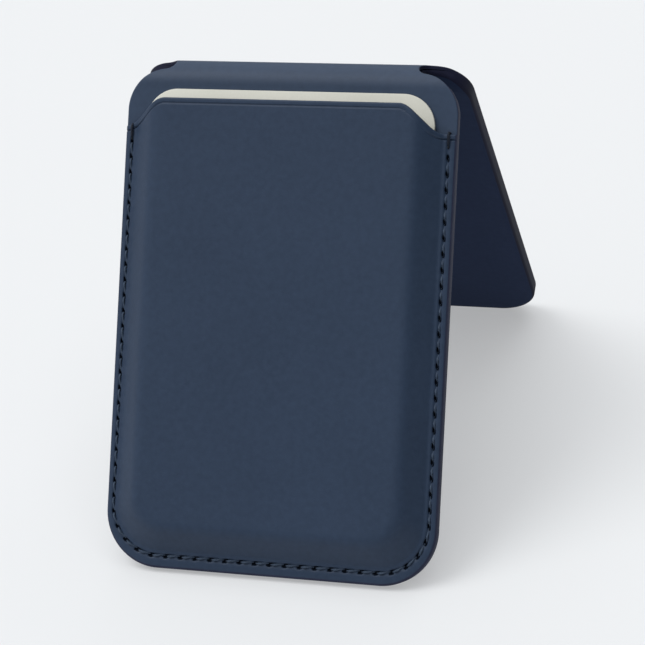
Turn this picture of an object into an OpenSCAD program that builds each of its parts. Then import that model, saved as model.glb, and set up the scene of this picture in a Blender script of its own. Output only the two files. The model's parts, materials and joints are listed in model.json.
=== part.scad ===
// Magnetic phone wallet with a card pocket and a folding rear flap.
// The two leather panels stand as an A-frame and are joined by a leather fold at the top.
// X runs across the wallet, -Y is the pocket side, and Z = 0 is the surface that both feet rest on.

/* [Panels] */
// Width of both panels
panel_w = 63; // [60:0.5:70]
// Length of the pocket panel, from its fold line to its foot
panel_l = 92.2; // [91:0.1:98]
// Lean of both panels from the horizontal when the wallet stands
lean = 58.2; // [50:0.1:75]
// Radius of the corners at the feet
foot_corner = 10.3; // [6:0.1:14]
// Radius of the corners beside the fold
fold_corner = 8; // [6:0.1:12]
// Distance from the fold line down to the centre of a fold corner
fold_corner_drop = 7.5; // [6:0.1:10]

/* [Pocket] */
// Height of the moulded pocket above its sewn flange
pocket_rise = 3.5; // [3.2:0.1:4.5]
// Half width of the pocket where its slope meets the flange
pocket_foot = 29.6; // [29:0.1:29.8]
// Half width of the flat front of the pocket
pocket_crown = 23.6; // [22:0.1:25]
// Distance from the fold line down to the mouth
mouth_drop = 5.6; // [5:0.1:9]
// Distance from the fold line down to the shoulders beside the mouth
shoulder_drop = 10.4; // [9:0.1:14]
// Width of the card
card_w = 55; // [50:0.1:55]
// Length of the card
card_l = 85; // [80:0.1:85]
// Thickness of the card
card_t = 0.76; // [0.3:0.01:0.8]
// Radius of the card's corners
card_corner = 6; // [3:0.1:8]

/* [Layers] */
// Thickness of the outer leather, which runs over the fold
leather_t = 0.7; // [0.6:0.05:0.8]
// Thickness of the moulded pocket leather
cover_t = 0.9; // [0.8:0.05:1.1]
// Thickness of the inner leather, which lines the inside of the A-frame
inner_t = 0.7; // [0.6:0.05:0.8]
// Thickness of the fibre board behind the card
wall_board_t = 0.5; // [0.4:0.05:0.8]
// Thickness of the steel plate that shields the card
shield_t = 0.3; // [0.2:0.05:0.5]
// Thickness of the board and magnets in the flap
magnet_layer_t = 1.4; // [1.3:0.05:2]
// Gap between the panels when the flap is closed
closed_gap = 0.5; // [0.4:0.05:1]

/* [Magnets] */
// Distance from the fold line down to the centre of the magnet ring
ring_drop = 36; // [33:0.5:40]
// Inner radius of the magnet ring
ring_inner = 23; // [22.5:0.1:24]
// Outer radius of the magnet ring
ring_outer = 27.8; // [27:0.1:28.2]
// Number of magnets in the ring
ring_count = 18; // [12:1:24]
// Width of the alignment magnet
align_w = 5.5; // [4:0.5:7]
// Length of the alignment magnet
align_l = 20; // [16:1:22]

/* [Stitching] */
// Spacing of the stitches
stitch_pitch = 2.85; // [2.4:0.05:3.5]
// Distance from the side edge to the seam
seam_side = 1.35; // [1.2:0.05:1.5]
// Distance from the foot edge to the seam
seam_foot = 2.4; // [2.2:0.05:2.6]
// Radius of the seam's corners
seam_corner = 9; // [6:0.1:10]
// Radius of the thread
thread_r = 0.22; // [0.18:0.01:0.25]

/* [Hidden] */
$fn = 48;

half_w = panel_w / 2;
eps = 0.01;
far = 40;
navy = [0.21, 0.26, 0.34];
dark_navy = [0.13, 0.16, 0.23];
board_grey = [0.55, 0.53, 0.5];
steel = [0.7, 0.71, 0.73];

// Heights in each panel's own frame: x across, y up the panel from the fold line, z outwards.
// The fold line runs through the middle of the outer leather.
outer_z = leather_t / 2;
flange_z = outer_z + cover_t;
crown_z = flange_z + pocket_rise;
wall_board_z = -outer_z - wall_board_t;
shield_z = wall_board_z - shield_t;
rear_z = shield_z - inner_t;
magnet_z = -outer_z - magnet_layer_t;
flap_rear_z = magnet_z - inner_t;

// The fold is a strip between two fold lines, as wide as the closed wallet is thick.
fold_half = (-rear_z - flap_rear_z + closed_gap) / 2;
fold_z = panel_l * sin(lean) - rear_z * cos(lean);
flap_l = (fold_z + flap_rear_z * cos(lean)) / sin(lean);
centre_y = ((panel_l - flap_l) * cos(lean) + (flange_z - outer_z) * sin(lean)) / 2;

// Round notch at each end of the fold, which runs into the corners of both panels
notch_x = 23.4;
notch_reach = notch_x - half_w + fold_corner;
notch_r = (pow(fold_half + fold_corner_drop, 2) + pow(notch_reach, 2) - pow(fold_corner, 2))
    / (2 * (fold_corner - notch_reach));

// Clearances at the fold lines
leather_end = 2 * outer_z;
inner_end = 1.6;
fold_lining_end = leather_end;
bead_half = 25.8;
fold_tape_t = 0.2;
fold_lining_t = 0.6;

// Boards stop short of the edges, and the inner leather's rim fills the space
board_inset = 3.4;
flap_board_inset = 3.2;

// Room inside the pocket
slope = pocket_rise / (pocket_foot - pocket_crown);
slope_shift = 1 / sin(atan(slope));
foot_line = seam_foot + 0.35;
front_board_t = 0.4;
lining_t = 0.3;
cavity_z = crown_z - cover_t;
lining_z = cavity_z - front_board_t - lining_t;
card_gap = 0.15;
card_z = outer_z + card_gap;
card_drop = panel_l - foot_line - 0.88 - card_l;
card_room_z = card_z + card_t + card_gap;

// Magnet fits
magnet_gap = 0.05;
backplate_t = 0.4;
align_drop = ring_drop + ring_outer + 3.8 + align_l / 2;

// Seam
groove_half = 0.35;
front_groove = 0.3;
rear_groove = 0.45;
seam_x = half_w - seam_side;
seam_y = -panel_l + seam_foot;
seam_top = -shoulder_drop - 2.4;
tack_r = 0.28;
tack_l = 1.6;
tack_y = -shoulder_drop - 0.4 - tack_l / 2;
side_run = seam_top - (seam_y + seam_corner);
corner_run = PI * seam_corner / 2;
foot_run = 2 * (seam_x - seam_corner);
foot_end = side_run + corner_run + foot_run;
seam_run = 2 * side_run + 2 * corner_run + foot_run;
stitch_count = round(seam_run / stitch_pitch);
stitch_step = seam_run / stitch_count;
stitch_l = 0.72 * stitch_step;

function smooth(t) = t * t * (3 - 2 * t);

// Mouth of the pocket: level in the middle, then an S-curve down to each shoulder
mouth_flat = 22;
mouth_end = 29.4;
mouth_steps = 14;
mouth_right = [
    for (i = [0 : mouth_steps])
        let (t = i / mouth_steps)
        [
            mouth_flat + (mouth_end - mouth_flat) * t,
            -mouth_drop - (shoulder_drop - mouth_drop) * smooth(t)
        ]
];
mouth_left = [for (i = [mouth_steps : -1 : 0]) [-mouth_right[i][0], mouth_right[i][1]]];

// Place of a point on the seam, run along from the left shoulder: [x, y, heading]
function seam_point(run) =
    run < side_run ? [-seam_x, seam_top - run, -90]
    : run < side_run + corner_run ? seam_bend(run - side_run, -1)
    : run < foot_end ? [-seam_x + seam_corner + run - side_run - corner_run, seam_y, 0]
    : run < seam_run - side_run ? seam_bend(run - foot_end, 1)
    : [seam_x, seam_y + seam_corner + run - (seam_run - side_run), 90];

function seam_bend(run, side) =
    let (turn = 90 * run / corner_run, angle = side < 0 ? 180 + turn : -90 + turn)
    [
        side * (seam_x - seam_corner) + seam_corner * cos(angle),
        seam_y + seam_corner + seam_corner * sin(angle),
        angle + 90
    ];

module on_pocket() {
    translate([0, centre_y - fold_half, fold_z])
        rotate([lean, 0, 0])
            children();
}

module on_fold() {
    translate([0, centre_y, fold_z])
        children();
}

module on_flap() {
    translate([0, centre_y + fold_half, fold_z])
        rotate([0, 0, 180])
            rotate([lean, 0, 0])
                children();
}

// A slab between two heights
module layer(low, high) {
    translate([0, 0, low])
        linear_extrude(high - low)
            children();
}

module rounded(half_x, low, high, low_r, high_r) {
    translate([-half_x, low + low_r])
        square([2 * half_x, high - high_r - low - low_r]);
    translate([-half_x + low_r, low])
        square([2 * (half_x - low_r), 2 * low_r]);
    translate([-half_x + high_r, high - 2 * high_r])
        square([2 * (half_x - high_r), 2 * high_r]);
    for (side = [-1, 1]) {
        translate([side * (half_x - low_r), low + low_r])
            circle(low_r);
        translate([side * (half_x - high_r), high - high_r])
            circle(high_r);
    }
}

// Outline of a panel of a given length, set in from its edge and ending below the fold line
module panel(length, inset, fold_end) {
    difference() {
        rounded(
            half_w - inset, -length + inset, fold_corner - fold_corner_drop - inset,
            foot_corner - inset, fold_corner - inset
        );
        translate([-far, -fold_end])
            square([2 * far, far]);
    }
}

// Everything below the mouth of the pocket
module below_mouth() {
    polygon(concat(
        [[-far, -shoulder_drop]], mouth_left, mouth_right,
        [[far, -shoulder_drop], [far, -2 * panel_l], [-far, -2 * panel_l]]
    ));
}

// The sloping form of the pocket between two heights, shrunk by a wall. It runs out past the mouth.
function form_half(wall, z) = pocket_foot - wall * slope_shift - (z - flange_z) / slope;

module form_section(wall, z, corner) {
    half = form_half(wall, z);
    low = -panel_l + foot_line + pocket_foot - half;
    translate([0, 0, z])
        linear_extrude(eps)
            rounded(half, low, 0, corner, 1, $fn = 32);
}

module pocket_form(wall, low, high) {
    hull() {
        form_section(wall, low, seam_corner - 1);
        form_section(wall, high - eps, seam_corner - 3);
    }
}

// The room that the cards slide in, which thins the pocket's leather and leaves its lining off at the foot
module card_room() {
    layer(outer_z - eps, card_room_z)
        rounded(
            card_w / 2 + 0.25, -card_drop - card_l - card_gap, 0, card_corner, 1
        );
}

module front_cover() {
    color(navy)
        on_pocket()
            difference() {
                intersection() {
                    union() {
                        layer(outer_z, flange_z)
                            panel(panel_l, 0, leather_end);
                        pocket_form(0, flange_z - eps, crown_z);
                    }
                    layer(outer_z, crown_z)
                        below_mouth();
                }
                pocket_form(cover_t, outer_z - eps, cavity_z);
                card_room();
                seam_groove(flange_z - front_groove, flange_z + eps);
            }
}

module front_board() {
    half = form_half(cover_t, cavity_z) - 1;
    color(board_grey)
        on_pocket()
            layer(cavity_z - front_board_t, cavity_z)
                rounded(half, -panel_l + foot_line + pocket_foot - half, -mouth_drop - 1.5, 3, 3);
}

module front_lining() {
    color(dark_navy)
        on_pocket()
            difference() {
                intersection() {
                    pocket_form(cover_t, outer_z, cavity_z);
                    layer(outer_z, cavity_z)
                        translate([0, -0.4])
                            below_mouth();
                }
                pocket_form(cover_t + lining_t, outer_z - eps, lining_z);
                card_room();
                layer(cavity_z - front_board_t, cavity_z + eps)
                    translate([-far, -2 * panel_l])
                        square([2 * far, 2 * panel_l]);
                layer(outer_z - eps, card_room_z)
                    translate([-far, -2 * panel_l])
                        square([2 * far, 2 * panel_l - card_drop - card_l + card_corner]);
            }
}

module pocket_wall() {
    color(navy)
        on_pocket()
            layer(-outer_z, outer_z)
                panel(panel_l, 0, leather_end);
}

module wall_board() {
    color(board_grey)
        on_pocket()
            layer(wall_board_z, -outer_z)
                panel(panel_l, board_inset, inner_end + 1);
}

module shield_plate() {
    color(steel)
        on_pocket()
            layer(shield_z, wall_board_z)
                panel(panel_l, board_inset, inner_end + 1);
}

module rear_cover() {
    color(dark_navy)
        on_pocket()
            difference() {
                layer(rear_z, -outer_z)
                    panel(panel_l, 0, inner_end);
                layer(shield_z, -outer_z + eps)
                    panel(panel_l, board_inset, inner_end + 1);
                seam_groove(rear_z - eps, rear_z + rear_groove);
            }
}

// Channel that the seam lies in, from one shoulder round the foot to the other
module seam_groove(low, high) {
    run_top = 2 * seam_corner;
    layer(low, high) {
        for (side = [-1, 1])
            translate([side * seam_x - groove_half, seam_y + seam_corner])
                square([2 * groove_half, -shoulder_drop + 1 - seam_y - seam_corner]);
        translate([-seam_x + seam_corner, seam_y - groove_half])
            square([2 * (seam_x - seam_corner), 2 * groove_half]);
        for (side = [-1, 1])
            translate([side * (seam_x - seam_corner), seam_y + seam_corner])
                intersection() {
                    difference() {
                        circle(seam_corner + groove_half);
                        circle(seam_corner - groove_half);
                    }
                    translate([side < 0 ? -run_top : 0, -run_top])
                        square(run_top);
                }
    }
}

// A straight rod, centred on the origin and lying along X
module rod(length, radius) {
    rotate([0, 90, 0])
        cylinder(h = length, r = radius, center = true, $fn = 16);
}

module stitches(z) {
    for (i = [0 : stitch_count - 1])
        let (place = seam_point((i + 0.5) * stitch_step))
            translate([place[0], place[1], z])
                rotate([0, 0, place[2]])
                    rod(stitch_l, thread_r);
}

module seam_thread() {
    color(navy)
        on_pocket()
            stitches(flange_z - front_groove + thread_r);
}

module rear_thread() {
    color(navy)
        on_pocket()
            stitches(rear_z + rear_groove - thread_r);
}

// The heavier first stitch at each end of the seam, which locks the shoulder of the pocket
module mouth_tacks() {
    color(dark_navy)
        on_pocket()
            for (side = [-1, 1])
                translate([side * seam_x, tack_y, flange_z - front_groove + tack_r])
                    rotate([0, 0, 90])
                        rod(tack_l, tack_r);
}

module card() {
    color([0.86, 0.84, 0.8])
        on_pocket()
            layer(card_z, card_z + card_t)
                rounded(card_w / 2, -card_drop - card_l, -card_drop, card_corner, card_corner);
}

// The notch cut into each end of the fold, where the corners of the two panels meet
module fold_notch() {
    for (side = [-1, 1]) {
        translate([side * (notch_x + notch_r), 0])
            circle(notch_r);
        difference() {
            translate([side > 0 ? notch_x + notch_r : -far, -fold_half])
                square([far - notch_x - notch_r, 2 * fold_half]);
            for (end = [-1, 1])
                translate([side * (half_w - fold_corner), end * (fold_half + fold_corner_drop)])
                    circle(fold_corner);
        }
    }
}

module fold_leather() {
    color(navy)
        on_fold() {
            difference() {
                layer(-outer_z, outer_z)
                    translate([-bead_half, -fold_half])
                        square([2 * bead_half, 2 * fold_half]);
                layer(-outer_z - eps, outer_z + eps)
                    fold_notch();
            }
            for (end = [-1, 1])
                translate([0, end * fold_half, 0])
                    rod(2 * bead_half, outer_z);
        }
}

module fold_tape() {
    color(board_grey)
        on_fold()
            layer(-outer_z - fold_tape_t, -outer_z)
                translate([-notch_x + 2, -fold_half + fold_lining_end])
                    square([2 * (notch_x - 2), 2 * (fold_half - fold_lining_end)]);
}

module fold_lining() {
    low = -outer_z - fold_tape_t - fold_lining_t;
    color(dark_navy)
        on_fold()
            layer(low, low + fold_lining_t)
                translate([-notch_x + 0.6, -fold_half + fold_lining_end])
                    square([2 * (notch_x - 0.6), 2 * (fold_half - fold_lining_end)]);
}

module flap_leather() {
    color(navy)
        on_flap()
            layer(-outer_z, outer_z)
                panel(flap_l, 0, leather_end);
}

// Ring between two radii, centred on the magnet ring
module ring_2d(inner, outer) {
    translate([0, -ring_drop])
        difference() {
            circle(outer, $fn = 96);
            circle(inner, $fn = 96);
        }
}

module flap_board() {
    color(board_grey)
        on_flap()
            layer(magnet_z, -outer_z)
                difference() {
                    panel(flap_l, flap_board_inset, inner_end + 1);
                    translate([0, -ring_drop])
                        circle(ring_outer + magnet_gap, $fn = 96);
                    translate([-align_w / 2 - magnet_gap, -align_drop - align_l / 2 - magnet_gap])
                        square([align_w + 2 * magnet_gap, align_l + 2 * magnet_gap]);
                }
}

module core_disc() {
    color(board_grey)
        on_flap()
            layer(magnet_z, -outer_z)
                translate([0, -ring_drop])
                    circle(ring_inner - magnet_gap, $fn = 96);
}

module ring_magnets() {
    sector = 360 / ring_count;
    gap_angle = 1;
    color(steel)
        on_flap()
            translate([0, -ring_drop, magnet_z + backplate_t])
                for (i = [0 : ring_count - 1])
                    rotate([0, 0, i * sector + gap_angle / 2])
                        rotate_extrude(angle = sector - gap_angle, $fn = 96)
                            translate([ring_inner, 0])
                                square([ring_outer - ring_inner, magnet_layer_t - backplate_t]);
}

module ring_backplate() {
    color(steel)
        on_flap()
            layer(magnet_z, magnet_z + backplate_t)
                ring_2d(ring_inner, ring_outer);
}

module alignment_magnet() {
    color(steel)
        on_flap()
            layer(magnet_z, -outer_z)
                translate([-align_w / 2, -align_drop - align_l / 2])
                    square([align_w, align_l]);
}

module flap_lining() {
    color(dark_navy)
        on_flap()
            difference() {
                layer(flap_rear_z, -outer_z)
                    panel(flap_l, 0, inner_end);
                layer(magnet_z, -outer_z + eps)
                    panel(flap_l, flap_board_inset, inner_end + 1);
            }
}

front_cover();
front_board();
front_lining();
pocket_wall();
wall_board();
shield_plate();
rear_cover();
seam_thread();
rear_thread();
mouth_tacks();
card();
fold_leather();
fold_tape();
fold_lining();
flap_leather();
flap_board();
core_disc();
ring_magnets();
ring_backplate();
alignment_magnet();
flap_lining();
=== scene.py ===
import json
import math

import bmesh
import bpy
import numpy as np
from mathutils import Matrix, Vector
from mathutils.geometry import delaunay_2d_cdt


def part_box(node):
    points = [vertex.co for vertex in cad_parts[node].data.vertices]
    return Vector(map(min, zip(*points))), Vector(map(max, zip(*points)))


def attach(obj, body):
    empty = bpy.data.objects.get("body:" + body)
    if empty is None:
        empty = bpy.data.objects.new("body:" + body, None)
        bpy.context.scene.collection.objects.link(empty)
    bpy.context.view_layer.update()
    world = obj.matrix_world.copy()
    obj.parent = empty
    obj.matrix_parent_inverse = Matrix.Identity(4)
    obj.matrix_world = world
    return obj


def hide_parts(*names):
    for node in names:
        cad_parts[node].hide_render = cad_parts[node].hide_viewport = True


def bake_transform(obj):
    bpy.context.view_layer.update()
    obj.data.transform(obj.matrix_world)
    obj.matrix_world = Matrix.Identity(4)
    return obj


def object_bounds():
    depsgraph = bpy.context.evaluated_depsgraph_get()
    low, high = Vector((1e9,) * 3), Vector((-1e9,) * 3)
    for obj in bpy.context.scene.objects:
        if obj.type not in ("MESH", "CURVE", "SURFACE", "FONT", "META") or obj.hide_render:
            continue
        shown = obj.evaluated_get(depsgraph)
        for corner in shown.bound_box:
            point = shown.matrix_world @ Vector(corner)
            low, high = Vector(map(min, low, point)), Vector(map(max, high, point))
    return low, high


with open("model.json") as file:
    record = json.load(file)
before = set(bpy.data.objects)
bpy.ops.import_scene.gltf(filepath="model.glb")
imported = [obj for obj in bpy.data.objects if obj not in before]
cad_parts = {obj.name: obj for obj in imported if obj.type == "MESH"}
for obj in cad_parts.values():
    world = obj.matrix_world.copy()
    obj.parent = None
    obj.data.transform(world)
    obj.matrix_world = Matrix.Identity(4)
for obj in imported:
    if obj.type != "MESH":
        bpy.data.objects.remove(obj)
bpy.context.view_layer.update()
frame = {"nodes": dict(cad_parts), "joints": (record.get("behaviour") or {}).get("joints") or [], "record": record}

# ---------------------------------------------------------------- dimensions
# All lengths here are in millimetres. A point on a leather sheet has three numbers: x across the
# wallet, s along the leather from the middle of the fold, and h outwards from the leather's middle.
MM = 0.001
POCKET_SIDE = -1
FLAP_SIDE = 1

joints = {joint["name"]: joint for joint in frame["joints"]}
card_axis = joints["card_slide"]["axis"]
lean = math.atan2(card_axis[2], card_axis[1])
sin_lean = math.sin(lean)
cos_lean = math.cos(lean)
pocket_hinge = [value / MM for value in joints["fold_hinge"]["pos_m"]]
flap_hinge = [value / MM for value in joints["flap_hinge"]["pos_m"]]
fold_y = (pocket_hinge[1] + flap_hinge[1]) / 2
fold_z = pocket_hinge[2]
fold_half = (flap_hinge[1] - pocket_hinge[1]) / 2
half_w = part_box("pocket_wall")[1].x / MM

# The leather bends over the top in one arc on each side of the fold
bend_r = fold_half / math.tan(lean / 2)
bend_run = bend_r * lean
fold_shift = bend_run - fold_half

# Heights of the layers
leather_h = 0.35
flange_h = 1.25
pocket_rise = 3.5
cover_t = 0.9
pocket_rear_h = -1.85
flap_rear_h = -2.45
fold_rear_h = -1.15
pocket_board_h = -1.15
flap_board_h = -1.75
fold_front_h = -0.55
pocket_l = (fold_z + pocket_rear_h * cos_lean) / sin_lean
flap_l = (fold_z + flap_rear_h * cos_lean) / sin_lean

# Outlines of the panels
# A panel is its length, the radius of its foot corners, and its fold corners. A fold corner is its
# radius and the distance of its centre below the fold line.
pocket_foot = 10.3
pocket_panel = (pocket_l, pocket_foot, ((8.0, 7.5), (8.0, 7.5)))
flap_panel = (flap_l, 8.6, ((8.2, 8.4), (6.2, 7.8)))
notch_tip = 23.4

# Pocket
mouth_drop = 5.5
shoulder_drop = 10.6
left_slope = (22.85, 31.75)
right_slope = (21.6, 29.2)
slope_start = 1.85
slope_end = 8.3
mouth_round = 0.35
edge_fall = 0.45
crease_inset = 1.0

# Seam
seam_side = 1.35
seam_foot = 2.4
seam_corner = 9.0
seam_top = shoulder_drop + 2.2
stitch_count = 72
seam_x = half_w - seam_side
seam_bend_v = pocket_l - seam_foot - seam_corner
foot_half = seam_x - seam_corner
bend_length = math.pi / 2 * seam_corner
half_seam = foot_half + bend_length + seam_bend_v - seam_top
stitch_step = 2 * half_seam / stitch_count
groove_depth = 0.24
groove_half_w = 0.34
rear_groove_depth = 0.16
rear_groove_half_w = 0.36
thread_r = 0.21
tack_r = 0.26
thread_lobes = 0.3
thread_twist = 2.1
hole_half_l = 0.95
hole_half_w = 0.42
hole_slant = 0.16
hole_depth = 0.65
rear_hole_depth = 0.5
seam_offset = 0.26
right_side_pull = 0.16

# Card
card_w = (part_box("card")[1].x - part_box("card")[0].x) / MM
card_l = 85.0
card_t = 0.76
card_h = 0.5
card_drop = 3.57
card_corner = 6.0


# ---------------------------------------------------------------- shape helpers
def smooth(t):
    t = np.clip(t, 0, 1)
    return t * t * (3 - 2 * t)


def place(side, x, s, h):
    """Row frame place, in metres, of points on a sheet that bends over the fold and runs down one panel"""
    x, s, h = np.broadcast_arrays(np.asarray(x, float), np.asarray(s, float), np.asarray(h, float))
    angle = np.clip(s / bend_r, 0, lean)
    beyond = np.maximum(s - bend_run, 0)
    run = (bend_r + h) * np.sin(angle) + beyond * cos_lean
    drop = bend_r - (bend_r + h) * np.cos(angle) + beyond * sin_lean
    return np.stack((x, fold_y + side * run, fold_z - drop), -1) * MM


def rounding(d, radius):
    """How far an edge of this radius has fallen at a distance d in from it"""
    d = np.clip(d, 0, radius)
    return radius - np.sqrt(radius ** 2 - (radius - d) ** 2)


def arc(centre_x, centre_s, radius, start, stop, count):
    angles = np.radians(np.linspace(start, stop, count, endpoint=False))
    return np.stack((centre_x + radius * np.cos(angles), centre_s + radius * np.sin(angles)), -1)


def straight(start, stop, count):
    steps = np.linspace(0, 1, count, endpoint=False)[:, None]
    return np.array(start) + steps * (np.array(stop) - np.array(start))


def joined(half, other):
    """A line that ends at x = 0, followed by the mirror image of another one run backwards"""
    return np.vstack((half, other[-2::-1] * (-1, 1)))


def foot_line(foot_r, d, sewn):
    """Distance from the foot, and corner radius, of a line that is set in by d at the sides"""
    if not sewn:
        return d, foot_r - d
    if d < seam_side:
        return d * seam_foot / seam_side, foot_r - (foot_r - seam_corner) * d / seam_side
    return d + seam_foot - seam_side, max(seam_corner - 0.6 * (d - seam_side), 3.5)


def panel_line(panel, d, sewn, counts):
    """Line round a panel from one notch of the fold to the other, set in by d"""
    length, foot_r, corners = panel
    notch_n, corner_n, side_n, foot_n, bottom_n = counts
    inset, radius = foot_line(foot_r, d, sewn)
    bottom = length + fold_shift - inset
    side = half_w - d
    halves = []
    for corner_r, corner_drop in corners:
        corner_x = half_w - corner_r
        corner_s = corner_drop + fold_shift
        reach = notch_tip - corner_x
        notch_r = (corner_s ** 2 + reach ** 2 - corner_r ** 2) / (2 * (corner_r - reach))
        turn = math.degrees(math.atan2(corner_s, corner_x - notch_tip - notch_r))
        halves.append(np.vstack((
            arc(notch_tip + notch_r, 0, notch_r + d, 180, turn, notch_n),
            arc(corner_x, corner_s, corner_r - d, turn - 180, 0, corner_n),
            straight((side, corner_s), (side, bottom - radius), side_n),
            arc(side - radius, bottom - radius, radius, 0, 90, foot_n),
            straight((side - radius, bottom), (0, bottom), bottom_n),
            [(0, bottom)],
        )))
    return joined(*halves)


def mouth_slope(x):
    """Where the mouth's slope on this side of the wallet starts, and how wide it is"""
    start = np.where(x < 0, left_slope[0], right_slope[0])
    return start, np.where(x < 0, left_slope[1], right_slope[1]) - start


def mouth_line(x):
    """How far below the fold line the pocket's mouth is"""
    start, run = mouth_slope(x)
    return mouth_drop + (shoulder_drop - mouth_drop) * smooth((np.abs(x) - start) / run)


def mouth_distance(x, v):
    """Distance of a point on the pocket below the mouth, square to the mouth's edge"""
    start, run = mouth_slope(x)
    t = np.clip((np.abs(x) - start) / run, 0, 1)
    steep = (shoulder_drop - mouth_drop) * 6 * t * (1 - t) / run
    return (v - mouth_line(x)) / np.sqrt(1 + steep ** 2)


def pocket_line(d, mouth_steps, counts):
    """Line round the pocket from one end of the mouth to the other, set in by d"""
    side_n, foot_n, bottom_n = counts
    inset, radius = foot_line(pocket_foot, d, True)
    bottom = pocket_l - inset
    side = half_w - d
    halves = []
    for hand in (1, -1):
        mouth = mouth_line(hand * side)
        halves.append(np.vstack((
            np.stack((np.full(len(mouth_steps), side), mouth + mouth_steps), -1),
            straight((side, mouth + mouth_steps[-1] + 0.1), (side, bottom - radius), side_n),
            arc(side - radius, bottom - radius, radius, 0, 90, foot_n),
            straight((side - radius, bottom), (0, bottom), bottom_n),
            [(0, bottom)],
        )))
    return joined(*halves)


def inside(points, outline, margin):
    """Those points that lie within a closed outline, at least a margin away from its corners"""
    x, y = points[:, 0], points[:, 1]
    x1, y1 = outline[:, 0], outline[:, 1]
    x2, y2 = np.roll(x1, -1), np.roll(y1, -1)
    kept = np.zeros(len(points), bool)
    for ax, ay, bx, by in zip(x1, y1, x2, y2):
        if ay != by:
            kept ^= ((ay > y) != (by > y)) & (x < (bx - ax) * (y - ay) / (by - ay) + ax)
    for start in range(0, len(outline), 200):
        part = outline[start:start + 200]
        gap = np.hypot(x[:, None] - part[None, :, 0], y[:, None] - part[None, :, 1]).min(1)
        kept &= gap > margin
    return points[kept]


def lattice(xs, ss):
    grid_x, grid_s = np.meshgrid(xs, ss)
    return np.stack((grid_x.ravel(), grid_s.ravel()), -1)


def fill(points, border):
    """Triangles inside a closed border, over all the points. The border is a list of indices."""
    edges = [(border[i], border[(i + 1) % len(border)]) for i in range(len(border))]
    found = delaunay_2d_cdt([Vector(p) for p in points], edges, [], 1, 1e-6)
    origin = found[3]
    return [tuple(origin[i][0] for i in face) for face in found[2]]


def new_object(name, verts, faces, sharp=35.0):
    mesh = bpy.data.meshes.new(name)
    mesh.from_pydata([tuple(v) for v in verts], [], faces)
    mesh.validate()
    shape = bmesh.new()
    shape.from_mesh(mesh)
    bmesh.ops.recalc_face_normals(shape, faces=shape.faces)
    shape.to_mesh(mesh)
    shape.free()
    mesh.shade_smooth()
    mesh.set_sharp_from_angle(angle=math.radians(sharp))
    obj = bpy.data.objects.new(name, mesh)
    bpy.context.scene.collection.objects.link(obj)
    return obj


def sheet(name, side, insets, lines, closing, inner, shown, hidden, hidden_inner, edge_inset, pits=None):
    """A closed leather sheet. lines run from one end of the closing line to the other, the outermost
    first, and inner points fill the rest. shown and hidden give the heights of its two faces from
    x, s and d, the distance in from the edge. Faces outside edge_inset get the second material,
    and those well down in a pit get the third, a near-black leather that paints shade into the pits."""
    rings, count = len(lines), len(lines[0])
    deep = insets[-1] + 1
    edge = np.vstack(lines)
    edge_d = np.repeat(insets, count)
    flat = np.vstack((edge, closing, inner))
    depth = np.concatenate((edge_d, np.full(len(closing) + len(inner), deep)))
    first_closing = rings * count
    closing_ids = list(range(first_closing, first_closing + len(closing)))
    faces = []
    painted = []
    for ring in range(rings - 1):
        for i in range(count - 1):
            a = ring * count + i
            faces.append((a, a + 1, a + count + 1, a + count))
            painted.append(insets[ring] < edge_inset)
    last = (rings - 1) * count
    triangles = fill(flat, list(range(last, last + count)) + closing_ids)
    faces.extend(triangles)
    painted.extend([False] * len(triangles))
    border = (
        list(range(count))
        + [ring * count + count - 1 for ring in range(1, rings)]
        + closing_ids
        + [ring * count for ring in range(rings - 1, 0, -1)]
    )
    under = np.vstack((flat[border], hidden_inner[:, :2]))
    under_d = np.concatenate((depth[border], hidden_inner[:, 2]))
    under_faces = fill(under, list(range(len(border))))
    base = len(flat)
    faces.extend([tuple(base + i for i in face) for face in under_faces])
    painted.extend([False] * len(under_faces))
    for i in range(len(border)):
        j = (i + 1) % len(border)
        faces.append((border[i], border[j], base + j, base + i))
        painted.append(True)
    top_h = shown(flat[:, 0], flat[:, 1], depth)
    under_h = hidden(under[:, 0], under[:, 1], under_d)
    verts = np.vstack((
        place(side, flat[:, 0], flat[:, 1], top_h),
        place(side, under[:, 0], under[:, 1], under_h),
    ))
    obj = new_object(name, verts, faces)
    looks_used = np.array(painted, np.int32)
    # The faces well down in a pit get the third material: painted shade in the needle holes.
    if pits:
        down = pits(flat[:, 0], flat[:, 1], depth)
        for i in range((rings - 1) * (count - 1)):
            if down[list(faces[i])].mean() > 0.2:
                looks_used[i] = 2
    obj.data.polygons.foreach_set("material_index", looks_used)
    return obj


# ---------------------------------------------------------------- materials
def rgb(red, green, blue):
    """An sRGB colour of 0 to 255 as linear light"""
    def linear(value):
        value = value / 255
        return value / 12.92 if value <= 0.04045 else ((value + 0.055) / 1.055) ** 2.4
    return (linear(red), linear(green), linear(blue), 1.0)


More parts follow.
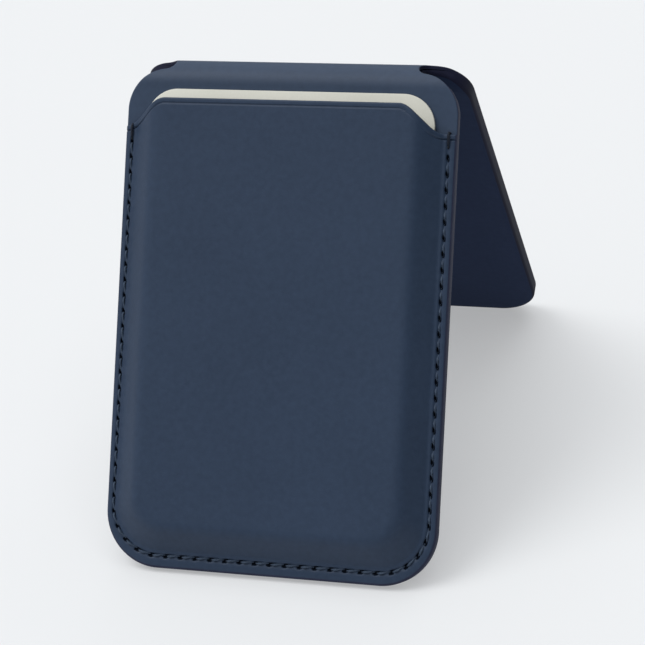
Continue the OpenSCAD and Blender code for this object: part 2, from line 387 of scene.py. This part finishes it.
class Graph:
    """A material's nodes, starting with a Principled surface and the object's own coordinates"""

    def __init__(self, name, **values):
        self.material = bpy.data.materials.new(name)
        self.material.use_nodes = True
        self.tree = self.material.node_tree
        self.tree.nodes.clear()
        self.output = self.tree.nodes.new("ShaderNodeOutputMaterial")
        self.surface = self.tree.nodes.new("ShaderNodeBsdfPrincipled")
        self.coords = self.tree.nodes.new("ShaderNodeTexCoord").outputs["Object"]
        self.link(self.surface.outputs["BSDF"], self.output.inputs["Surface"])
        for key, value in values.items():
            self.surface.inputs[key.replace("_", " ")].default_value = value

    def link(self, source, target):
        self.tree.links.new(source, target)

    def stretched(self, scale):
        node = self.tree.nodes.new("ShaderNodeMapping")
        node.inputs["Scale"].default_value = scale
        self.link(self.coords, node.inputs["Vector"])
        return node.outputs["Vector"]

    def noise(self, scale, detail=3.0, roughness=0.5, distortion=0.0, vector=None):
        node = self.tree.nodes.new("ShaderNodeTexNoise")
        node.inputs["Scale"].default_value = scale
        node.inputs["Detail"].default_value = detail
        node.inputs["Roughness"].default_value = roughness
        node.inputs["Distortion"].default_value = distortion
        self.link(vector or self.coords, node.inputs["Vector"])
        return node.outputs["Fac"]

    def cells(self, scale):
        node = self.tree.nodes.new("ShaderNodeTexVoronoi")
        node.feature = "SMOOTH_F1"
        node.inputs["Scale"].default_value = scale
        self.link(self.coords, node.inputs["Vector"])
        return node.outputs["Distance"]

    def wave(self, scale, direction):
        node = self.tree.nodes.new("ShaderNodeTexWave")
        node.bands_direction = direction
        node.inputs["Scale"].default_value = scale
        self.link(self.coords, node.inputs["Vector"])
        return node.outputs["Fac"]

    def ramp(self, value, low, high, low_colour, high_colour):
        node = self.tree.nodes.new("ShaderNodeValToRGB")
        node.color_ramp.elements[0].position = low
        node.color_ramp.elements[0].color = low_colour
        node.color_ramp.elements[1].position = high
        node.color_ramp.elements[1].color = high_colour
        self.link(value, node.inputs["Fac"])
        return node.outputs["Color"]

    def between(self, value, low, high):
        """A value of 0 to 1 spread between two limits"""
        node = self.tree.nodes.new("ShaderNodeMapRange")
        node.inputs["To Min"].default_value = low
        node.inputs["To Max"].default_value = high
        self.link(value, node.inputs["Value"])
        return node.outputs["Result"]

    def combine(self, operation, first, second):
        node = self.tree.nodes.new("ShaderNodeMath")
        node.operation = operation
        for socket, value in zip(node.inputs, (first, second)):
            if isinstance(value, (int, float)):
                socket.default_value = value
            else:
                self.link(value, socket)
        return node.outputs["Value"]

    def weighed(self, first, second):
        """The sum of two values, each given with its weight"""
        parts = [self.combine("MULTIPLY", value, weight) for value, weight in (first, second)]
        return self.combine("ADD", *parts)

    def mixed(self, factor, first, second):
        node = self.tree.nodes.new("ShaderNodeMix")
        node.data_type = "RGBA"
        for socket, value in zip((node.inputs[0], node.inputs[6], node.inputs[7]), (factor, first, second)):
            if isinstance(value, (int, float, tuple)):
                socket.default_value = value
            else:
                self.link(value, socket)
        return node.outputs[2]

    def finish(self, colour, roughness, height=None, depth_mm=0.02, strength=0.5):
        self.link(colour, self.surface.inputs["Base Color"])
        self.link(roughness, self.surface.inputs["Roughness"])
        if height is not None:
            bump = self.tree.nodes.new("ShaderNodeBump")
            bump.inputs["Strength"].default_value = strength
            bump.inputs["Distance"].default_value = depth_mm * MM
            self.link(height, bump.inputs["Height"])
            self.link(bump.outputs["Normal"], self.surface.inputs["Normal"])
        return self.material


def leather(name, dark, light, shine, rough_low, rough_high, grain_mm, depth_mm):
    graph = Graph(name, Specular_IOR_Level=shine)
    clouds = graph.noise(60, 3, 0.5)
    mottle = graph.noise(900, 3, 0.6)
    tone = graph.weighed((clouds, 0.35), (mottle, 0.65))
    colour = graph.ramp(tone, 0.2, 0.8, dark, light)
    pores = graph.cells(1 / (grain_mm * MM))
    fine = graph.noise(2.2 / (grain_mm * MM), 4, 0.6)
    folds = graph.noise(0.16 / (grain_mm * MM), 2, 0.5)
    grain = graph.weighed((pores, 0.6), (fine, 0.5))
    height = graph.weighed((grain, 1.0), (folds, 0.3))
    colour = graph.mixed(graph.between(grain, 0.0, 0.22), colour, dark)
    roughness = graph.between(graph.weighed((clouds, 0.3), (fine, 0.7)), rough_low, rough_high)
    return graph.finish(colour, roughness, height, depth_mm, 0.45)


def painted_edge(name, dark, light):
    graph = Graph(name, Specular_IOR_Level=0.12)
    clouds = graph.noise(300, 3, 0.6)
    colour = graph.ramp(clouds, 0.3, 0.7, dark, light)
    ripple = graph.noise(900, 3, 0.5)
    return graph.finish(colour, graph.between(clouds, 0.6, 0.75), ripple, 0.03, 0.4)


def twisted(name, dark, light):
    graph = Graph(name, Specular_IOR_Level=0.2, Sheen_Weight=0.05, Sheen_Roughness=0.4)
    fibres = graph.noise(4200, 4, 0.65)
    tone = graph.weighed((fibres, 0.7), (graph.noise(600, 2), 0.3))
    colour = graph.ramp(tone, 0.3, 0.7, dark, light)
    return graph.finish(colour, graph.between(fibres, 0.5, 0.75), fibres, 0.05, 0.5)


def fabric(name, dark, light, thread_mm):
    graph = Graph(name, Specular_IOR_Level=0.25, Sheen_Weight=0.2, Sheen_Roughness=0.5)
    scale = math.pi / (10 * thread_mm * MM)
    weave = graph.combine("MULTIPLY", graph.wave(scale, "X"), graph.wave(scale, "Y"))
    fuzz = graph.noise(3500, 4, 0.7)
    tone = graph.weighed((weave, 0.5), (fuzz, 0.5))
    colour = graph.ramp(tone, 0.2, 0.8, dark, light)
    return graph.finish(colour, graph.between(fuzz, 0.75, 0.95), tone, 0.08, 0.5)


def fibre_board(name):
    graph = Graph(name, Specular_IOR_Level=0.3)
    flecks = graph.noise(1500, 5, 0.7, 0.6)
    clouds = graph.noise(160, 3)
    tone = graph.weighed((flecks, 0.6), (clouds, 0.4))
    colour = graph.ramp(tone, 0.3, 0.7, rgb(134, 128, 118), rgb(178, 172, 160))
    return graph.finish(colour, graph.between(flecks, 0.75, 0.92), flecks, 0.04, 0.5)


def brushed_metal(name, dark, light, low, high, scale):
    graph = Graph(name, Metallic=1.0)
    lines = graph.noise(160, 4, 0.6, vector=graph.stretched(scale))
    clouds = graph.noise(120, 3)
    tone = graph.weighed((lines, 0.6), (clouds, 0.4))
    colour = graph.ramp(tone, 0.3, 0.7, dark, light)
    return graph.finish(colour, graph.between(tone, low, high), lines, 0.01, 0.3)


def card_stock(name):
    graph = Graph(name, Specular_IOR_Level=0.45, Coat_Weight=0.15, Coat_Roughness=0.25)
    clouds = graph.noise(45, 3)
    specks = graph.noise(2400, 3, 0.6)
    tone = graph.weighed((clouds, 0.7), (specks, 0.3))
    colour = graph.ramp(tone, 0.3, 0.7, rgb(197, 196, 184), rgb(208, 208, 197))
    return graph.finish(colour, graph.between(specks, 0.34, 0.48), specks, 0.01, 0.25)


outer = leather("outer_leather", rgb(36, 50, 70), rgb(47, 62, 84), 0.22, 0.46, 0.56, 0.34, 0.035)
# A lighter copy of the outer leather, with flatter grain, for the wall and the flap's outer face. Its lighter
# colour is painted light from above on the fold and on the band above the mouth.
stretched = leather("top_lit_stretched_leather", rgb(43, 57, 77), rgb(52, 67, 89), 0.22, 0.46, 0.56, 0.34, 0.02)
inner = leather("inner_leather", rgb(31, 42, 66), rgb(39, 51, 77), 0.06, 0.6, 0.7, 0.42, 0.02)
# Near-black leather for the faces deep in the needle holes: painted shade in the holes.
hole_shade = leather("hole_shade_leather", rgb(8, 13, 22), rgb(13, 19, 30), 0.05, 0.7, 0.8, 0.3, 0.02)
edge_paint = painted_edge("edge_paint", rgb(38, 42, 62), rgb(48, 53, 74))
# A darker copy of the edge paint for the flap's edges, which face away from the light: painted shade.
shaded_flap_edge = painted_edge("shaded_flap_edge_paint", rgb(17, 20, 38), rgb(24, 27, 48))
thread = twisted("thread", rgb(44, 56, 74), rgb(64, 78, 96))
dark_thread = twisted("dark_thread", rgb(14, 20, 31), rgb(24, 31, 45))
microfibre = fabric("microfibre", rgb(44, 50, 64), rgb(58, 66, 82), 0.12)
woven_tape = fabric("woven_tape", rgb(70, 72, 78), rgb(98, 100, 106), 0.3)
board = fibre_board("fibre_board")
steel = brushed_metal("brushed_steel", rgb(160, 163, 168), rgb(196, 198, 202), 0.28, 0.42, (14, 0.6, 14))
nickel = brushed_metal("nickel_plate", rgb(186, 187, 190), rgb(214, 214, 214), 0.14, 0.24, (3, 3, 3))
card_face = card_stock("card_stock")

looks = {
    "outer_leather": outer,
    "inner_leather": inner,
    "thread": thread,
    "board": board,
    "card_stock": card_face,
    "steel_plate": steel,
    "magnet": nickel,
    "tape": woven_tape,
    "microfibre": microfibre,
}
for part in frame["record"]["subparts"]:
    node_mesh = frame["nodes"][part["node"]].data
    node_mesh.materials.clear()
    node_mesh.materials.append(looks[part["material_slot"]])


def dress(obj, slot_name, *materials):
    for material in materials:
        obj.data.materials.append(material)


# ---------------------------------------------------------------- seam
def seam_phase(x, v):
    """Distance along the seam in stitches, from the middle of the foot to the right"""
    reach = np.abs(x)
    up = seam_bend_v - v
    turn = np.arctan2(reach - foot_half, v - seam_bend_v)
    past_foot = np.where(up > 0, foot_half + bend_length + up, foot_half + turn * seam_corner)
    along = np.where(reach < foot_half, reach, past_foot)
    return np.where(x < 0, -along, along) / stitch_step


def needle_holes(x, v, d):
    """Shape, from 0 to 1 deep, of the holes that the thread goes down between the stitches"""
    phase = seam_phase(x, v) - seam_offset
    nearest = np.clip(np.round(phase), -stitch_count / 2, stitch_count / 2 - 1)
    along = (phase - nearest) * stitch_step
    across = d - seam_side - hole_slant * along
    spread = np.sqrt((along / hole_half_l) ** 2 + (across / hole_half_w) ** 2)
    return (1 - smooth(spread)) * (v > 11)


def seam_place(phase, outward):
    """x and v of a point at this many stitches along the seam, moved outward across it"""
    along = abs(phase) * stitch_step
    hand = math.copysign(1, phase)
    if along < foot_half:
        return hand * along, pocket_l - seam_foot + outward
    if along < foot_half + bend_length:
        turn = (along - foot_half) / seam_corner
        radius = seam_corner + outward
        return hand * (foot_half + radius * math.sin(turn)), seam_bend_v + radius * math.cos(turn)
    return hand * (seam_x + outward), seam_bend_v - (along - foot_half - bend_length)


def tube(centres, radius, lobes, twist, sides):
    """Verts and faces of a tube along points, with a lobed section that twists as it goes"""
    centres = np.asarray(centres, float)
    steps = np.gradient(centres, axis=0)
    steps /= np.linalg.norm(steps, axis=1)[:, None]
    lengths = np.concatenate(([0], np.cumsum(np.linalg.norm(np.diff(centres, axis=0), axis=1))))
    # Any direction that no stitch runs along will do to start the section from
    off_line = (0, cos_lean * 0.3 + 0.05, 1.0)
    side_way = np.cross(steps, off_line)
    side_way /= np.linalg.norm(side_way, axis=1)[:, None]
    up_way = np.cross(side_way, steps)
    verts = []
    angles = np.linspace(0, 2 * math.pi, sides, endpoint=False)
    for centre, a, b, length in zip(centres, side_way, up_way, lengths):
        turn = twist * length
        spread = radius * (1 - lobes + lobes * np.abs(np.cos(angles - turn)))
        verts.extend(centre + spread[:, None] * (np.cos(angles)[:, None] * a + np.sin(angles)[:, None] * b))
    faces = []
    for ring in range(len(centres) - 1):
        for i in range(sides):
            j = (i + 1) % sides
            a = ring * sides
            faces.append((a + i, a + j, a + sides + j, a + sides + i))
    last = (len(centres) - 1) * sides
    faces.append(tuple(range(sides - 1, -1, -1)))
    faces.append(tuple(range(last, last + sides)))
    return verts, faces


def seam_threads(name, face_h, outwards, bury):
    """All the stitches of one side of the seam. Each comes steeply up out of one hole, crosses the
    leather and sinks slowly into the next. They are pulled tighter up the right side."""
    verts, faces = [], []
    for i in range(-stitch_count // 2, stitch_count // 2 - 1):
        line = []
        pull = right_side_pull * smooth((i - 8) / 8)
        for t in np.linspace(0, 1, 17):
            x, v = seam_place(i + seam_offset + 0.1 + 0.8 * t, 0.12 - 0.3 * t)
            rise = max(0.0, (0.26 - t) / 0.26) ** 1.4
            sink = max(0.0, (t - 0.36) / 0.64)
            h = face_h - outwards * (0.04 + pull + bury * max(rise, sink))
            line.append(place(POCKET_SIDE, x, v + fold_shift, h))
        tube_verts, tube_faces = tube(line, thread_r * MM, thread_lobes, thread_twist / MM, 12)
        start = len(verts)
        verts.extend(tube_verts)
        faces.extend([tuple(start + j for j in face) for face in tube_faces])
    return new_object(name, verts, faces, 60)


# ---------------------------------------------------------------- pocket cover
def slope_share(d):
    """Share of the pocket's rise reached at a distance d in from its sides"""
    t = np.clip((np.asarray(d, float) - slope_start) / (slope_end - slope_start), 0, 1)
    ease, hold = 0.12, 0.45
    first = np.minimum(t, ease)
    climb = first / 2 - ease / (2 * math.pi) * np.sin(math.pi * first / ease)
    middle = np.clip(t - ease, 0, hold - ease)
    rest = np.clip(t - hold, 0, 1 - hold) / (1 - hold)
    crown = (1 - hold) * (rest / 2 + np.sin(math.pi * rest) / (2 * math.pi))
    return (climb + middle + crown) / (ease / 2 + hold - ease + (1 - hold) / 2)


def cover_shown(x, s, d):
    v = s - fold_shift
    below = mouth_distance(x, v)
    height = flange_h + pocket_rise * slope_share(d)
    height = height - rounding(d, 0.4) - rounding(below, mouth_round)
    crease = 0.17 + 0.13 * smooth((np.abs(x) - 26.5) / 2) - 0.14 * np.exp(-((x - 24.8) / 1.8) ** 2)
    height = height - crease * np.exp(-((below - crease_inset) / 0.15) ** 2)
    sewn = smooth((v - seam_top + 1.6) / 0.8)
    across = d - seam_side
    height = height - sewn * groove_depth * np.exp(-(across / groove_half_w) ** 2)
    height = height - edge_fall * (1 - np.clip(d / 2, 0, 1)) ** 1.4
    return height - hole_depth * needle_holes(x, v, d)


def sheet_pits(x, s, d):
    return needle_holes(x, s - fold_shift, d)


def cover_hidden(x, s, d):
    return flange_h - cover_t + pocket_rise * slope_share(d)


mouth_steps = np.concatenate((
    [0, 0.04, 0.09, 0.15, 0.22, 0.29, 0.36, 0.46, 0.56, 0.66],
    np.arange(0.74, 1.7, 0.08), [1.82, 1.95, 2.1, 2.3],
))
cover_insets = np.concatenate((
    [0, 0.03, 0.08, 0.15, 0.24, 0.33, 0.42, 0.55, 0.7],
    np.arange(0.82, 1.95, 0.075), [2.0, 2.1, 2.25, 2.4, 2.55, 2.7], np.arange(2.95, slope_end + 0.4, 0.32),
))
cover_lines = [pocket_line(d, mouth_steps, (330, 64, 100)) + (0, fold_shift) for d in cover_insets]
plateau_half = half_w - cover_insets[-1]
mouth_xs = np.linspace(-plateau_half, plateau_half, 100)[1:-1]
cover_closing = np.stack((mouth_xs, mouth_line(mouth_xs) + fold_shift), -1)
near_mouth = lattice(mouth_xs, mouth_steps[1:])
near_mouth[:, 1] += mouth_line(near_mouth[:, 0]) + fold_shift
plateau = lattice(np.arange(-21, 21.1, 3), np.arange(12, pocket_l, 3.5))
cover_outline = np.vstack((cover_lines[-1], cover_closing))
cover_inner = np.vstack((inside(near_mouth, cover_outline, 0.03), inside(plateau, cover_outline, 0.6)))
under_lines = []
for d in (1.9, 2.3, 2.8, 3.4, 4.1, 4.9, 5.8, 6.8, 7.8, 8.4):
    line = pocket_line(d, np.array([0.6, 1.5, 2.5]), (60, 12, 30)) + (0, fold_shift)
    under_lines.append(np.column_stack((line, np.full(len(line), d))))
plateau_under = inside(plateau, cover_outline, 0.6)
under_lines.append(np.column_stack((plateau_under, np.full(len(plateau_under), 10.0))))
front_cover = sheet(
    "pocket_cover", POCKET_SIDE, cover_insets, cover_lines, cover_closing, cover_inner,
    cover_shown, cover_hidden, np.vstack(under_lines), 0.2, sheet_pits,
)
dress(front_cover, "outer_leather", outer, edge_paint, hole_shade)
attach(front_cover, "pocket")
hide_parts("front_cover")

# ---------------------------------------------------------------- sheets over the fold
plain_counts = (10, 44, 80, 40, 30)
sewn_counts = (8, 40, 330, 64, 100)
board_counts = (3, 12, 50, 14, 20)
pocket_board_inset = 3.4
flap_board_inset = 3.2
bend_rows = np.concatenate(([0.12, 0.3, 0.55, 0.85], np.arange(1.2, 9.1, 0.4)))


def sheet_inner(length, outline):
    bend = lattice(np.arange(-30, 30.1, 1.0), bend_rows)
    flat = lattice(np.arange(-28, 28.1, 4.0), np.arange(12, length, 4.0))
    return np.vstack((inside(bend, outline, 0.25), inside(flat, outline, 0.8)))


def fold_sheet(name, side, panel, sewn, counts, insets, shown, hidden, board_inset, edge_inset, pits=None):
    """A leather sheet from the middle of the fold down one panel"""
    length = panel[0]
    insets = np.asarray(insets, float)
    lines = [panel_line(panel, d, sewn, counts) for d in insets]
    reach = notch_tip - insets[-1]
    xs = np.linspace(-reach, reach, 46)[1:-1]
    closing = np.stack((xs, np.zeros(len(xs))), -1)
    outline = np.vstack((lines[-1], closing))
    inner_points = sheet_inner(length, outline)
    under = np.column_stack((inner_points, np.full(len(inner_points), 20.0)))
    if board_inset:
        near = half_w - np.abs(under[:, 0]) < board_inset + 1
        low = under[:, 1] > length + fold_shift - board_inset - 1
        under = under[~(near | low)]
        for d in (board_inset, board_inset + 0.25):
            line = panel_line(panel, d, False, board_counts)
            under = np.vstack((under, np.column_stack((line, np.full(len(line), d)))))
        under = inside(under, np.vstack((lines[0], closing)), 0.12)
    return sheet(
        name, side, insets, lines, closing, inner_points, shown, hidden, under, edge_inset, pits
    )


def outer_shown(x, s, d):
    return leather_h - rounding(d, 0.25)


def outer_hidden(x, s, d):
    return np.full(len(x), -leather_h)


plain_insets = [0, 0.02, 0.06, 0.12, 0.19, 0.26, 0.5]
wall = fold_sheet(
    "wall_leather", POCKET_SIDE, pocket_panel, False, plain_counts, plain_insets,
    outer_shown, outer_hidden, None, 0.05,
)
# The wall gets the lighter leather: painted light from above on the band above the mouth and on the fold.
dress(wall, "outer_leather", stretched, edge_paint)
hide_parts("pocket_wall", "fold_leather")
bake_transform(wall)

# The flap's outer face gets the lighter leather too: painted light from above on the fold.
flap_skin = fold_sheet(
    "flap_outer_leather", FLAP_SIDE, flap_panel, False, plain_counts, plain_insets,
    outer_shown, outer_hidden, None, 0.05,
)
# The flap's edges get the darker edge paint: painted shade.
dress(flap_skin, "outer_leather", stretched, shaded_flap_edge)
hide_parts("flap_leather")
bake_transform(flap_skin)


def lining_face(rear_h):
    """Height of the inner leather's shown face, which thins towards the fold"""
    def face(s):
        return fold_rear_h + (rear_h - fold_rear_h) * smooth((s - 0.8) / 7.0)
    return face


def lining_room(board_h, board_inset):
    """Height of the inner leather's other face, with a recess for the boards"""
    def face(x, s, d):
        front = fold_front_h + (-leather_h - fold_front_h) * smooth((s - 1.0) / 4.0)
        recess = smooth((d - board_inset) / 0.25) * smooth((s - 4.6) / 1.2)
        return front + (board_h - front) * recess
    return face


def rear_shown(x, s, d):
    height = lining_face(pocket_rear_h)(s) + rounding(d, 0.45)
    v = s - fold_shift
    sewn = smooth((v - seam_top + 1.6) / 0.8)
    height = height + sewn * rear_groove_depth * np.exp(-((d - seam_side) / rear_groove_half_w) ** 2)
    return height + rear_hole_depth * needle_holes(x, v, d)


def flap_inner_shown(x, s, d):
    return lining_face(flap_rear_h)(s) + rounding(d, 0.6)


rear_insets = np.concatenate((
    [0, 0.03, 0.09, 0.17, 0.27, 0.37, 0.47, 0.62, 0.78], np.arange(0.88, 1.9, 0.085), [2.0, 2.3],
))
rear_skin = fold_sheet(
    "pocket_inner_leather", POCKET_SIDE, pocket_panel, True, sewn_counts, rear_insets,
    rear_shown, lining_room(pocket_board_h, pocket_board_inset), pocket_board_inset, 0.2, sheet_pits,
)
dress(rear_skin, "inner_leather", inner, edge_paint, hole_shade)
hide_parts("rear_cover", "fold_lining")
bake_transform(rear_skin)

flap_insets = [0, 0.03, 0.09, 0.18, 0.3, 0.45, 0.61, 1.0]
flap_inner = fold_sheet(
    "flap_inner_leather", FLAP_SIDE, flap_panel, False, plain_counts, flap_insets,
    flap_inner_shown, lining_room(flap_board_h, flap_board_inset), flap_board_inset, 0.4,
)
# The flap's edges get the darker edge paint: painted shade.
dress(flap_inner, "inner_leather", inner, shaded_flap_edge)
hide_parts("flap_lining")
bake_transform(flap_inner)

# ---------------------------------------------------------------- thread
front_stitches = seam_threads("front_stitches", flange_h, 1, 0.6)
dress(front_stitches, "thread", thread)
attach(front_stitches, "pocket")
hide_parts("seam_thread")

rear_stitches = seam_threads("rear_stitches", pocket_rear_h, -1, 0.5)
dress(rear_stitches, "thread", thread)
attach(rear_stitches, "pocket")
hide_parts("rear_thread")

tack_verts, tack_faces = [], []
for hand in (-1, 1):
    bar = [(shoulder_drop - 0.27, 0.4), (shoulder_drop - 0.3, 0.75), (shoulder_drop - 0.22, 1.1)]
    bar += [(shoulder_drop + 0.05, flange_h + 0.12), (shoulder_drop + 0.5, flange_h + 0.14)]
    bar += [(shoulder_drop + 1.2, flange_h + 0.1), (shoulder_drop + 1.9, flange_h + 0.02)]
    bar += [(shoulder_drop + 2.3, flange_h - 0.15), (shoulder_drop + 2.5, flange_h - 0.5)]
    line = [place(POCKET_SIDE, hand * seam_x, v + fold_shift, h) for v, h in bar]
    bar_verts, bar_faces = tube(line, tack_r * MM, thread_lobes, thread_twist / MM, 12)
    tack_faces.extend([tuple(len(tack_verts) + j for j in face) for face in bar_faces])
    tack_verts.extend(bar_verts)
tacks = new_object("shoulder_tacks", tack_verts, tack_faces, 60)
dress(tacks, "thread", dark_thread)
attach(tacks, "pocket")
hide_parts("mouth_tacks")


# ---------------------------------------------------------------- card
def card_ring(inset, count):
    half_x = card_w / 2 - inset
    half_s = card_l / 2 - inset
    radius = card_corner - inset
    centre = card_drop + fold_shift + card_l / 2
    corners = ((1, 1, 0), (-1, 1, 90), (-1, -1, 180), (1, -1, 270))
    parts = []
    for sign_x, sign_s, start in corners:
        angles = np.radians(np.linspace(start, start + 90, count))
        parts.append(np.stack((
            sign_x * (half_x - radius) + radius * np.cos(angles),
            centre + sign_s * (half_s - radius) + radius * np.sin(angles),
        ), -1))
    return np.vstack(parts)


card_levels = []
for inset, h in ((0.1, 0), (0.03, 0.03), (0, 0.1), (0, card_t - 0.1), (0.03, card_t - 0.03), (0.1, card_t)):
    ring = card_ring(inset, 20)
    card_levels.append(place(POCKET_SIDE, ring[:, 0], ring[:, 1], card_h + h))
ring_size = len(card_levels[0])
card_faces = [tuple(range(ring_size))]
for level in range(len(card_levels) - 1):
    for i in range(ring_size):
        j = (i + 1) % ring_size
        a = level * ring_size
        card_faces.append((a + i, a + j, a + ring_size + j, a + ring_size + i))
card_faces.append(tuple(range((len(card_levels) - 1) * ring_size, len(card_levels) * ring_size)))
card = new_object("blank_card", np.vstack(card_levels), card_faces, 40)
dress(card, "card_stock", card_face)
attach(card, "card")
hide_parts("card")

# ---------------------------------------------------------------- studio
visual_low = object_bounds()[0]
bpy.ops.mesh.primitive_plane_add(size=6, location=(0, 0, visual_low.z))
floor = bpy.context.object
floor.name = "studio_floor"
floor_graph = Graph("floor_paint", Specular_IOR_Level=0.0, Emission_Strength=0.38)
floor_graph.surface.inputs["Emission Color"].default_value = (0.98, 0.99, 1.0, 1.0)
floor_tone = floor_graph.noise(3, 2)
floor_paint = floor_graph.ramp(floor_tone, 0.2, 0.8, rgb(167, 169, 171), rgb(169, 171, 173))
floor.data.materials.append(floor_graph.finish(floor_paint, floor_graph.between(floor_tone, 0.75, 0.85)))

# The surroundings are brightest on the left and dark on the right
world = bpy.data.worlds.new("studio")
world.use_nodes = True
world_nodes = world.node_tree.nodes
world_direction = world_nodes.new("ShaderNodeTexCoord")
world_axes = world_nodes.new("ShaderNodeSeparateXYZ")
world_light = world_nodes.new("ShaderNodeMapRange")
world_light.inputs["From Min"].default_value = -1.0
world_light.inputs["To Min"].default_value = 0.68
world_light.inputs["To Max"].default_value = 0.0
world.node_tree.links.new(world_direction.outputs["Generated"], world_axes.inputs["Vector"])
world.node_tree.links.new(world_axes.outputs["X"], world_light.inputs["Value"])
world.node_tree.links.new(world_light.outputs["Result"], world_nodes["Background"].inputs["Strength"])
world_nodes["Background"].inputs["Color"].default_value = (0.93, 0.96, 1.0, 1.0)
bpy.context.scene.world = world


def sun(name, azimuth, elevation, strength, spread, colour):
    """A soft light from far off. Azimuth 0 is in front of the pocket and 90 is to its right."""
    data = bpy.data.lights.new(name, "SUN")
    data.energy = strength
    data.angle = math.radians(spread)
    data.color = colour
    light = bpy.data.objects.new(name, data)
    bpy.context.scene.collection.objects.link(light)
    a, e = math.radians(azimuth), math.radians(elevation)
    back = Vector((math.sin(a) * math.cos(e), -math.cos(a) * math.cos(e), math.sin(e)))
    light.rotation_mode = "QUATERNION"
    light.rotation_quaternion = back.to_track_quat("Z", "Y")
    light.location = back


sun("key", -72, 60, 1.4, 36, (1.0, 0.99, 0.97))
sun("top", 0, 80, 1.25, 65, (1.0, 1.0, 1.0))
sun("back", 180, 50, 0.8, 50, (1.0, 1.0, 1.0))

bpy.context.scene.view_settings.view_transform = "Standard"

azimuth = math.radians(18.85)
elevation = math.radians(30.38)
roll = math.radians(-6.88)
distance = 464.29
target = Vector((-0.85, 0.48, 24.5)) * MM
back = Vector((
    math.sin(azimuth) * math.cos(elevation), -math.cos(azimuth) * math.cos(elevation), math.sin(elevation),
))
camera_data = bpy.data.cameras.new("camera")
camera_data.lens = 132.705
camera_data.sensor_width = 36
camera_data.clip_start = 0.01
camera_data.clip_end = 20
camera = bpy.data.objects.new("camera", camera_data)
bpy.context.scene.collection.objects.link(camera)
right = (-back).cross(Vector((0, 0, 1))).normalized()
up = right.cross(-back)
turned_right = math.cos(roll) * right + math.sin(roll) * up
turned_up = -math.sin(roll) * right + math.cos(roll) * up
camera.rotation_mode = "QUATERNION"
rotation = camera.matrix_world.to_3x3()
rotation.col[0] = turned_right
rotation.col[1] = turned_up
rotation.col[2] = back
camera.rotation_quaternion = rotation.to_quaternion()
camera.location = target + back * distance * MM
bpy.context.scene.camera = camera
